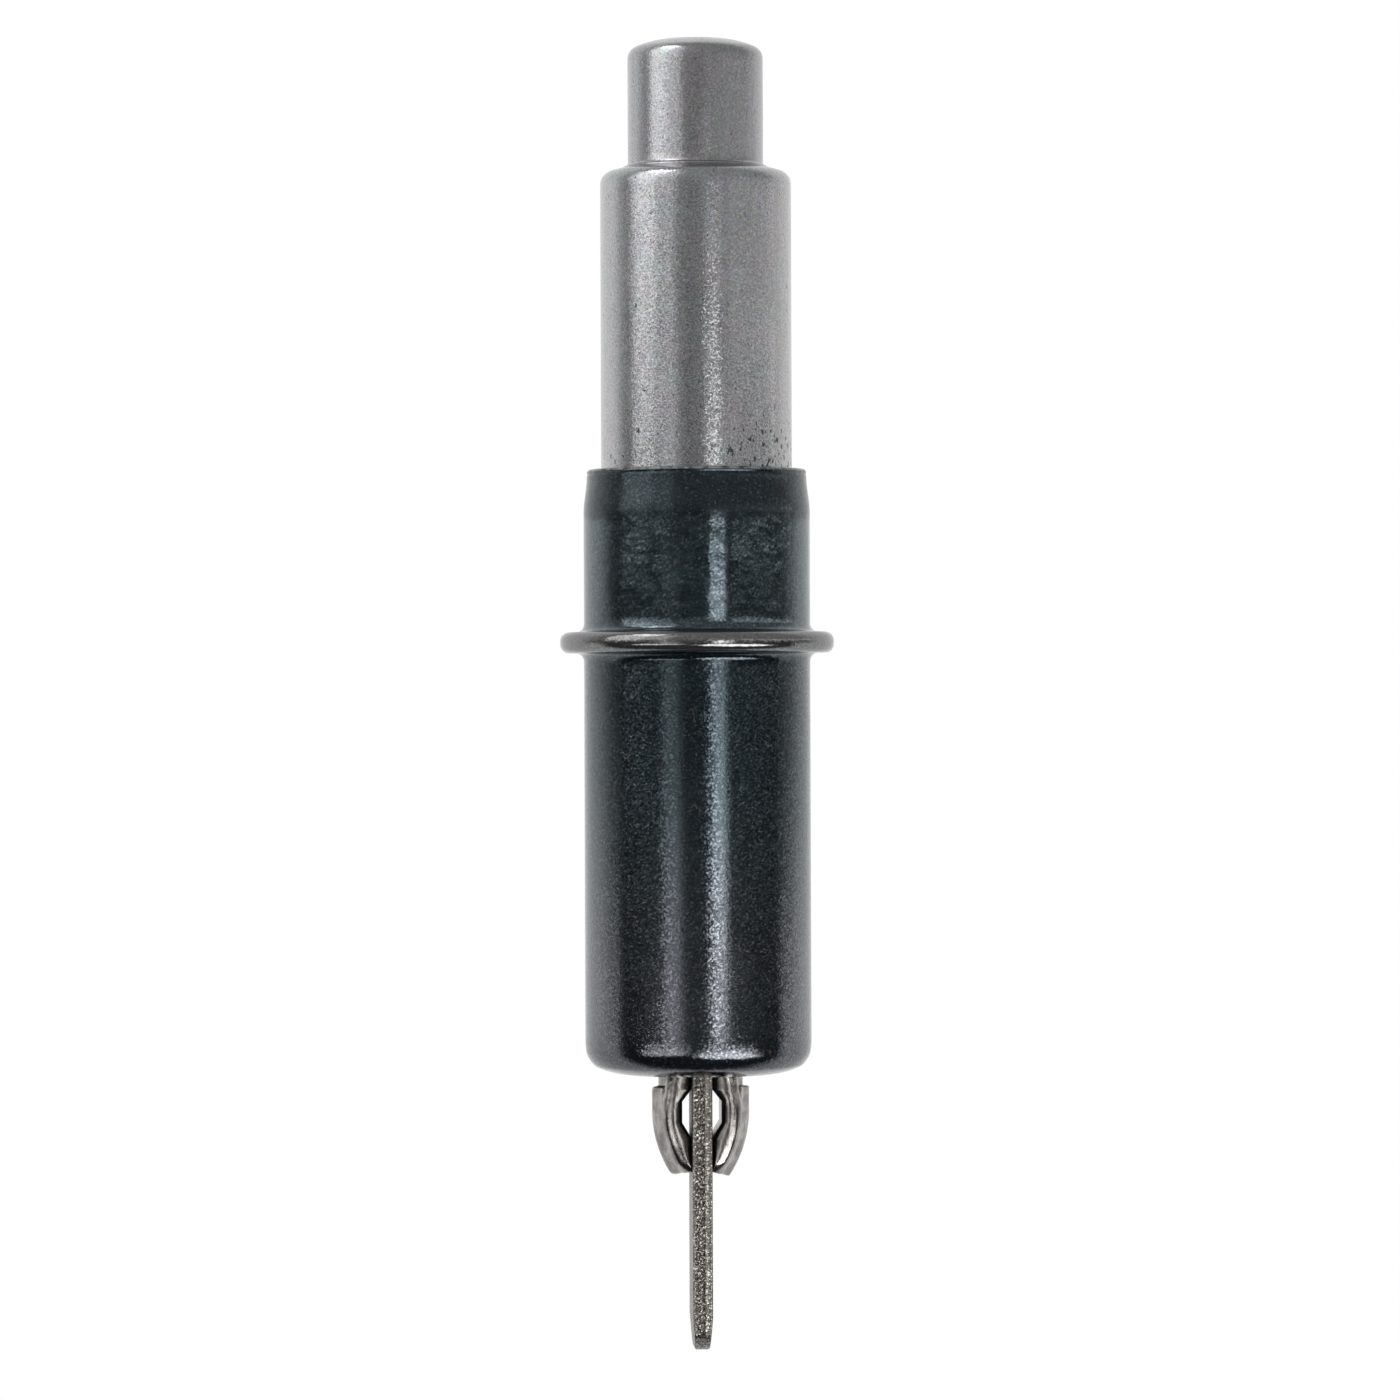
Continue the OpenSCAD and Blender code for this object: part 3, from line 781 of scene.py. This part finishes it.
def straight_rings(loop, step_drop):
    """Rings of the shank, the step and the straight part of the barb. The step is cut in the rib and drops
    a little to its edge; the strip beside the rib swings out gently from the seat down."""
    u, v, outer = loop.T
    beside = smooth_step(np.abs(v), 0.9 * RIB_HALF, 1.02 * RIB_HALF)
    shank_heights = (HOOK_Z, 30.0, 20.0, 10.0, 3.0, 1.0, 0.4, 0.1, -0.2, -0.4)
    stations = [(z, 0.0) for z in shank_heights]
    stations += [(STEP_Z + 0.02, 0.0), (STEP_Z, 0.02)]
    for share, drop in STEP_PROFILE:
        stations.append((STEP_Z - drop * step_drop, share * STEP_OUT))
    stations += [(z, STEP_OUT) for z in np.linspace(STEP_Z - STEP_END * step_drop, BARB_Z, 24)]
    rings = []
    for z, shift in stations:
        first_swing = smooth_step(-z, -SWING_TOP_Z, -SWING_MID_Z)
        swing = STEP_OUT / 2 * (first_swing + smooth_step(-z, -SWING_MID_Z, -BARB_Z))
        middle = FLAT_X + LOCK_T - STRIP_EDGE + shift + (swing - shift) * beside
        rings.append(np.column_stack((spread(u, outer, inner_x(z), middle), v, np.full_like(u, z))))
    return rings


def bend_rings(loop, steps, tip_round):
    """Rings of the bent-in tip. They turn about the bend's axis, keep to the inner side beside the spreader
    bar and end on the sloping cut, with an outer corner that is more or less worn round."""
    u, v, outer = loop.T
    bend_x = SHANK_R + STEP_OUT - TIP_BEND
    low_r = TIP_BEND - STOCK_H
    end_x = bend_x + TIP_BEND * math.cos(TIP_ANGLE)
    end_z = BARB_Z - TIP_BEND * math.sin(TIP_ANGLE)
    tilt = math.tan(TIP_CUT)
    cut = (end_z - BARB_Z + (end_x - bend_x) * tilt) / math.hypot(1, tilt)

    def end_angle(reach):
        return np.arccos(np.clip(cut / reach, -1, 1)) - math.atan(1 / tilt)

    corner_z = end_z + (end_x - FLAT_X) * tilt
    corner_r = math.hypot(FLAT_X - bend_x, BARB_Z - corner_z)
    rings = []
    for share in np.linspace(0, 1, steps + 1)[1:]:
        nominal = np.maximum(np.where(outer > 0, low_r + u, corner_r), corner_r)
        turn = share * end_angle(nominal)
        start = (inner_x(BARB_Z) - bend_x) / np.cos(turn)
        # the window's depth depends on the height, so the start is found in a few rounds
        for _ in range(12):
            start = (inner_x(BARB_Z - start * np.sin(turn)) - bend_x) / np.cos(turn)
        reach = spread(u, outer, start, low_r + LOCK_T - STRIP_EDGE)
        to_end = (1 - share) * TIP_BEND * TIP_ANGLE
        worn = max(tip_round - to_end, 0.0)
        rounding = tip_round - math.sqrt(tip_round**2 - worn**2)
        reach = reach - outer * smooth_step(u, WEAR_START, STOCK_H) * rounding
        z = BARB_Z - reach * np.sin(turn)
        near_end = smooth_step(-z, -end_z - 1.6 * TIP_CHAMFER, -end_z + TIP_CHAMFER)
        narrow = TIP_CHAMFER / LOCK_HALF * near_end
        rings.append(np.column_stack((bend_x + reach * np.cos(turn), v * (1 - 1.3 * narrow), z)))
    return rings


def lock_strip(name, side, step_drop, tip_round, painted_shade_reach, material):
    """A lock: ribbed strip with a hook, a step and a bent-in tip. Side is 1 on the right, -1 on the left.
    Its inner side is painted dark as shade up to a distance from the flat, and its cut end is painted
    darker too."""
    loop = strip_loop()
    rings = hook_rings(loop) + straight_rings(loop, step_drop) + bend_rings(loop, 64, tip_round)
    last = rings[-1]
    middle = last.mean(axis=0)
    rings.append(middle + (last - middle) * END_RING)
    sides = len(loop)
    points = np.vstack(rings)
    faces = capped_faces(len(rings), sides)
    points[:, 0] = points[:, 0] * side + SIDE_PLAY
    piece = make_piece(name, points, faces, material, sharp=32)
    # painted shade: dark on the inner half, fading out up to a distance from the flat
    inner = (1 - loop[:, 2]) * (1 - smooth_step(loop[:, 0], painted_shade_reach - PAINTED_SHADE_FADE, painted_shade_reach))
    inner = np.tile(inner, len(rings))
    # painted shade on the cut end
    inner[-2 * sides :] = PAINTED_END_SHADE
    mark(piece, "inner", inner)
    return piece


# Spreader bar


def bar_loop():
    """Section of the bar as a closed line of (x, y), finely divided along both blanked edges."""
    ex = BAR_HALF_T - BAR_EDGE
    ey = BAR_HALF_W - BAR_EDGE
    front = refine([(-ex, -BAR_HALF_W), (ex, -BAR_HALF_W)], longest=0.035)
    right_front = [(ex + x, -ey + y) for x, y in arc(0.0, 0.0, BAR_EDGE, -90, 0, 5)]
    right = refine([(BAR_HALF_T, -ey), (BAR_HALF_T, ey)], longest=0.4)
    right_back = [(ex + x, ey + y) for x, y in arc(0.0, 0.0, BAR_EDGE, 0, 90, 5)]
    half_loop = front[:-1] + right_front[:-1] + right[:-1] + right_back[:-1]
    return np.array(half_loop + [(-x, -y) for x, y in half_loop])


def bar_rings(loop):
    """Rings of the bar from the top of its arms down to the tapered, rounded tip."""
    tip_z = BAR_LOW_Z + BAR_TIP_ROUND
    tip = tip_z - BAR_TIP_ROUND * np.sin(np.radians(np.linspace(0, 90, 7)))
    heights = np.concatenate((np.linspace(ARM_TOP_Z, 0.2, 6), np.arange(0.15, tip_z, -0.04), tip))
    rings = []
    for z in heights:
        near_tip = np.clip((BAR_LOW_Z + BAR_TAPER - z) / BAR_TAPER, 0.0, 1.0)
        half_t = BAR_HALF_T + (BAR_TIP_HALF_T - BAR_HALF_T) * near_tip
        sunk = np.clip(tip_z - z, 0.0, BAR_TIP_ROUND)
        half_t -= BAR_TIP_ROUND - math.sqrt(BAR_TIP_ROUND**2 - sunk**2)
        drop = np.clip(BAR_LOW_Z + BAR_CORNER - z, 0.0, BAR_CORNER)
        half_w = BAR_HALF_W - BAR_CORNER + math.sqrt(BAR_CORNER**2 - drop**2)
        x = loop[:, 0] * half_t / BAR_HALF_T
        y = loop[:, 1] * half_w / BAR_HALF_W
        rings.append(np.column_stack((x, y, np.full(len(loop), z))))
    return rings


def torn_depth(points, section):
    """Depth of the tears, the chain of holes and the fine scores in the blanked edges, at points of the
    bar and their places in its section."""
    edge = smooth_step(np.abs(section[:, 1]), BAR_HALF_W - 0.05, BAR_HALF_W - 0.01)
    across = section[:, 0] / BAR_HALF_T
    off_middle = np.abs(across - TORN_MIDDLE)
    torn = smooth_step(-off_middle, -TORN_HALF - 0.05, -TORN_HALF + 0.05)
    chain = torn * smooth_step(across, TORN_MIDDLE + 0.1, TORN_MIDDLE + 0.25)
    scored = smooth_step(across, SCORED_START, SCORED_START + 0.1) * smooth_step(-across, -0.80, -0.70)
    tears = 0.4 + 0.5 * grain(points, 0.12, 5) + 0.5 * grain(points, 0.07, 6)
    holes = np.maximum(grain(points, 0.13, 8), 0.0)
    rungs = 0.5 + 0.5 * grain(points * np.array((0.08, 0.3, 1.0)), 0.08, 7)
    depth = TEAR_DEPTH * torn * np.maximum(tears, 0.0) + CHAIN_DEPTH * chain * holes
    return edge * (depth + SCORE_DEPTH * scored * rungs)


def spreader_blank(material):
    """The spreader bar: a blanked strip with torn and burnished edges, a tapered tip and cross arms."""
    loop = bar_loop()
    rings = bar_rings(loop)
    points = np.vstack(rings)
    depth = torn_depth(points, np.tile(loop, (len(rings), 1)))
    points[:, 0] += SIDE_PLAY
    points[:, 1] -= np.sign(points[:, 1]) * depth
    piece = make_piece("spreader_blank", points, capped_faces(len(rings), len(loop)), material, sharp=60)
    add_arms(piece.data)
    return piece


def add_arms(mesh):
    """Adds the hidden cross arms to the bar's mesh, with bevelled edges."""
    work = bmesh.new()
    work.from_mesh(mesh)
    for side in (-1, 1):
        middle_y = side * (ARM_HALF + BAR_HALF_W) / 2
        middle_z = (ARM_TOP_Z + ARM_LOW_Z) / 2
        lengths = (2 * BAR_HALF_T, ARM_HALF - BAR_HALF_W, ARM_TOP_Z - ARM_LOW_Z)
        size = Matrix.Diagonal((*(length * MM for length in lengths), 1.0))
        place = Matrix.Translation(Vector((SIDE_PLAY, middle_y, middle_z)) * MM) @ size
        made = bmesh.ops.create_cube(work, size=1.0, matrix=place)
        for vert in made["verts"]:
            if vert.co.z < middle_z * MM and abs(vert.co.y) > abs(middle_y) * MM:
                vert.co.z += ARM_CHAMFER * MM
        edges = {edge for vert in made["verts"] for edge in vert.link_edges}
        bmesh.ops.bevel(
            work, geom=list(edges), offset=BAR_EDGE * MM, segments=3, profile=0.5, affect="EDGES"
        )
    work.to_mesh(mesh)
    work.free()


# Return spring


def coil_height(turn):
    """Height of the wire's centre after a number of turns: closed turns at both ends, even ones between."""
    turns = ACTIVE_TURNS + 2 * END_TURNS
    low = SPRING_Z + WIRE_R - GROUND
    high = SPRING_TOP_Z - WIRE_R + GROUND
    first = low + END_TURNS * END_PITCH
    last = high - END_TURNS * END_PITCH
    if turn < END_TURNS:
        return low + turn * END_PITCH
    if turn > turns - END_TURNS:
        return high - (turns - turn) * END_PITCH
    return first + (turn - END_TURNS) / ACTIVE_TURNS * (last - first)


def spring_coil(material):
    """The return spring: coils of round wire with ground ends."""
    steps_per_turn = 32
    sides = 12
    turns = ACTIVE_TURNS + 2 * END_TURNS
    around = np.linspace(0, 2 * np.pi, sides, endpoint=False)
    rings = []
    for step in range(turns * steps_per_turn + 1):
        turn = step / steps_per_turn
        angle = 2 * math.pi * turn
        reach = COIL_R + WIRE_R * np.cos(around)
        z = np.clip(coil_height(turn) + WIRE_R * np.sin(around), SPRING_Z, SPRING_TOP_Z)
        rings.append(np.column_stack((reach * math.cos(angle), reach * math.sin(angle), z)))
    points = np.vstack(rings)
    faces = capped_faces(len(rings), sides)
    return make_piece("spring_coil", points, faces, material)


# Stage, light and camera


def calculated(tree, operation, first, second):
    """The result of a calculation with two sockets."""
    made = tree.nodes.new("ShaderNodeMath")
    made.operation = operation
    tree.links.new(first, made.inputs[0])
    tree.links.new(second, made.inputs[1])
    return made.outputs[0]


def ray_share(tree, *kinds):
    """1 for rays of the named kinds, else 0."""
    path = tree.nodes.new("ShaderNodeLightPath")
    total = path.outputs[kinds[0]]
    for kind in kinds[1:]:
        total = calculated(tree, "MAXIMUM", total, path.outputs[kind])
    return total


def eased(tree, value, span, first, last):
    """A value that goes smoothly from first to last while another one goes over a span."""
    made = tree.nodes.new("ShaderNodeMapRange")
    made.interpolation_type = "SMOOTHSTEP"
    tree.links.new(value, made.inputs[0])
    for item, socket in zip((*span, first, last), made.inputs[1:5]):
        socket.default_value = item
    return made.outputs[0]


def along(tree, place, axis, span, first, last):
    """A value that goes smoothly from first to last over a span along an axis."""
    split = tree.nodes.new("ShaderNodeSeparateXYZ")
    tree.links.new(place, split.inputs[0])
    return eased(tree, split.outputs[axis], span, first, last)


def mixed(tree, share, first, second):
    """A colour between the first and the second, which are colours or sockets."""
    made = tree.nodes.new("ShaderNodeMix")
    made.data_type = "RGBA"
    tree.links.new(share, made.inputs["Factor"])
    for value, socket in ((first, made.inputs[6]), (second, made.inputs[7])):
        if isinstance(value, bpy.types.NodeSocket):
            tree.links.new(value, socket)
        else:
            socket.default_value = value
    return made.outputs[2]


def light_world():
    """An even grey for the light, and white for what is seen. Gloss sees white behind and, in front, a room
    that is dark below and grey above."""
    world = bpy.data.worlds.new("studio")
    world.use_nodes = True
    tree = world.node_tree
    place = tree.nodes.new("ShaderNodeTexCoord").outputs["Generated"]
    front = along(tree, place, "Z", ROOM_RISE, ROOM_DARK, ROOM_GREY)
    behind = along(tree, place, "Y", ROOM_BACK, 0.0, 1.0)
    room = mixed(tree, behind, front, WHITE)
    color = mixed(tree, ray_share(tree, "Is Glossy Ray"), rgb(0.25, 0.25, 0.25), room)
    color = mixed(tree, ray_share(tree, "Is Camera Ray", "Is Transmission Ray"), color, WHITE)
    tree.links.new(color, tree.nodes["Background"].inputs["Color"])
    bpy.context.scene.world = world


def add_floor():
    """A pale floor well below the fastener, which has no stand of its own. It turns white far off, and
    gloss sees it white behind the fastener and dark in front."""
    bpy.ops.mesh.primitive_plane_add(size=FLOOR_SIZE, location=(0, 0, FLOOR_Z))
    floor = bpy.context.object
    floor.name = "floor"
    material = bpy.data.materials.new("pale_floor")
    material.use_nodes = True
    tree = material.node_tree
    shader = tree.nodes["Principled BSDF"]
    shader.inputs["Base Color"].default_value = rgb(0.82, 0.82, 0.82)
    shader.inputs["Roughness"].default_value = 0.9
    place = tree.nodes.new("ShaderNodeNewGeometry").outputs["Position"]
    distance = tree.nodes.new("ShaderNodeVectorMath")
    distance.operation = "LENGTH"
    tree.links.new(place, distance.inputs[0])
    fade = eased(tree, distance.outputs["Value"], FLOOR_FADE, FLOOR_NEAR, 1.0)
    glossy = ray_share(tree, "Is Glossy Ray")
    seen = ray_share(tree, "Is Camera Ray", "Is Glossy Ray", "Is Transmission Ray")
    share = calculated(tree, "MULTIPLY", seen, calculated(tree, "MAXIMUM", fade, glossy))
    front = along(tree, place, "Y", FLOOR_FRONT, ROOM_DARK, FLOOR_DARK)
    behind = along(tree, place, "Y", FLOOR_BACK, 0.0, 1.0)
    room = mixed(tree, behind, front, WHITE)
    glow = tree.nodes.new("ShaderNodeEmission")
    tree.links.new(mixed(tree, glossy, WHITE, room), glow.inputs["Color"])
    both = tree.nodes.new("ShaderNodeMixShader")
    tree.links.new(share, both.inputs[0])
    tree.links.new(shader.outputs[0], both.inputs[1])
    tree.links.new(glow.outputs[0], both.inputs[2])
    tree.links.new(both.outputs[0], tree.nodes["Material Output"].inputs["Surface"])
    floor.data.materials.append(material)


def add_softbox(name, azimuth, elevation, width, height, radiance, distance=0.6, oval=False):
    """A flat lamp aimed at the fastener. Its azimuth, to the right of the camera, and its elevation are in
    degrees, its sizes in metres."""
    data = bpy.data.lights.new(name, "AREA")
    data.shape = "ELLIPSE" if oval else "RECTANGLE"
    data.size = width
    data.size_y = height
    area = width * height * (math.pi / 4 if oval else 1.0)
    data.energy = radiance * math.pi * area
    side = math.radians(azimuth) - CAMERA_YAW
    rise = math.radians(elevation)
    direction = Vector((math.sin(side) * math.cos(rise), -math.cos(side) * math.cos(rise), math.sin(rise)))
    lamp = bpy.data.objects.new(name, data)
    lamp.location = Vector((0, 0, CAMERA_HEIGHT)) + distance * direction
    lamp.rotation_euler = direction.to_track_quat("Z", "Y").to_euler()
    lamp.visible_camera = False
    bpy.context.scene.collection.objects.link(lamp)


def add_camera():
    """A level camera in front of the housing, a little to the left and hardly rolled."""
    data = bpy.data.cameras.new("camera")
    data.sensor_width = SENSOR
    data.lens = SENSOR * CAMERA_DISTANCE / FRAME_WIDTH
    data.shift_x = FRAME_SHIFT
    data.clip_start = 0.01
    camera = bpy.data.objects.new("camera", data)
    place = Vector((-math.sin(CAMERA_YAW), -math.cos(CAMERA_YAW), 0)) * CAMERA_DISTANCE
    place.z = CAMERA_HEIGHT
    camera.matrix_world = (
        Matrix.Translation(place)
        @ Matrix.Rotation(-CAMERA_YAW, 4, "Z")
        @ Matrix.Rotation(math.pi / 2, 4, "X")
        @ Matrix.Rotation(CAMERA_ROLL, 4, "Z")
    )
    bpy.context.scene.collection.objects.link(camera)
    bpy.context.scene.camera = camera


dress(housing_shell(black_oxide()), "housing", "housing")
dress(plunger_cap(tumbled_steel()), "plunger", "plunger")
lock_material = hardened_steel()
left_strip = lock_strip(
    "lock_left_strip", side=-1, step_drop=0.09, tip_round=0.35, painted_shade_reach=0.58, material=lock_material
)
dress(left_strip, "plunger", "lock_left")
right_strip = lock_strip(
    "lock_right_strip", side=1, step_drop=0.03, tip_round=0.1, painted_shade_reach=0.47, material=lock_material
)
dress(right_strip, "plunger", "lock_right")
dress(spreader_blank(blanked_steel()), "housing", "spreader_bar")
coil = dress(spring_coil(spring_steel()), "housing", "return_spring")
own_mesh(coil)

light_world()
add_floor()
add_softbox("left_high", azimuth=-66, elevation=27.4, width=0.36, height=0.53, radiance=1.65)
add_softbox("left_top", azimuth=-62, elevation=58, width=0.25, height=0.16, radiance=4.0)
add_softbox("left_high_inner", azimuth=-37, elevation=27.4, width=0.26, height=0.53, radiance=0.8)
add_softbox("right_high", azimuth=58, elevation=4.9, width=0.48, height=0.035, radiance=1.05)
add_softbox("right_side", azimuth=95, elevation=4.9, width=0.35, height=0.035, radiance=1.05)
add_softbox(
    "left_low", azimuth=-26, elevation=-3.7, width=0.076, height=0.033, radiance=1.35, distance=0.257
)
add_softbox(
    "right_low", azimuth=21, elevation=-2.0, width=0.066, height=0.042, radiance=4.3, distance=0.256
)
add_softbox(
    "left_table", azimuth=-34, elevation=-17, width=0.21, height=0.046,
    radiance=2.8, distance=0.24, oval=True,
)
add_softbox(
    "right_table", azimuth=33, elevation=-27, width=0.23, height=0.090,
    radiance=5.8, distance=0.20, oval=True,
)
add_camera()
bpy.context.scene.view_settings.view_transform = "Standard"
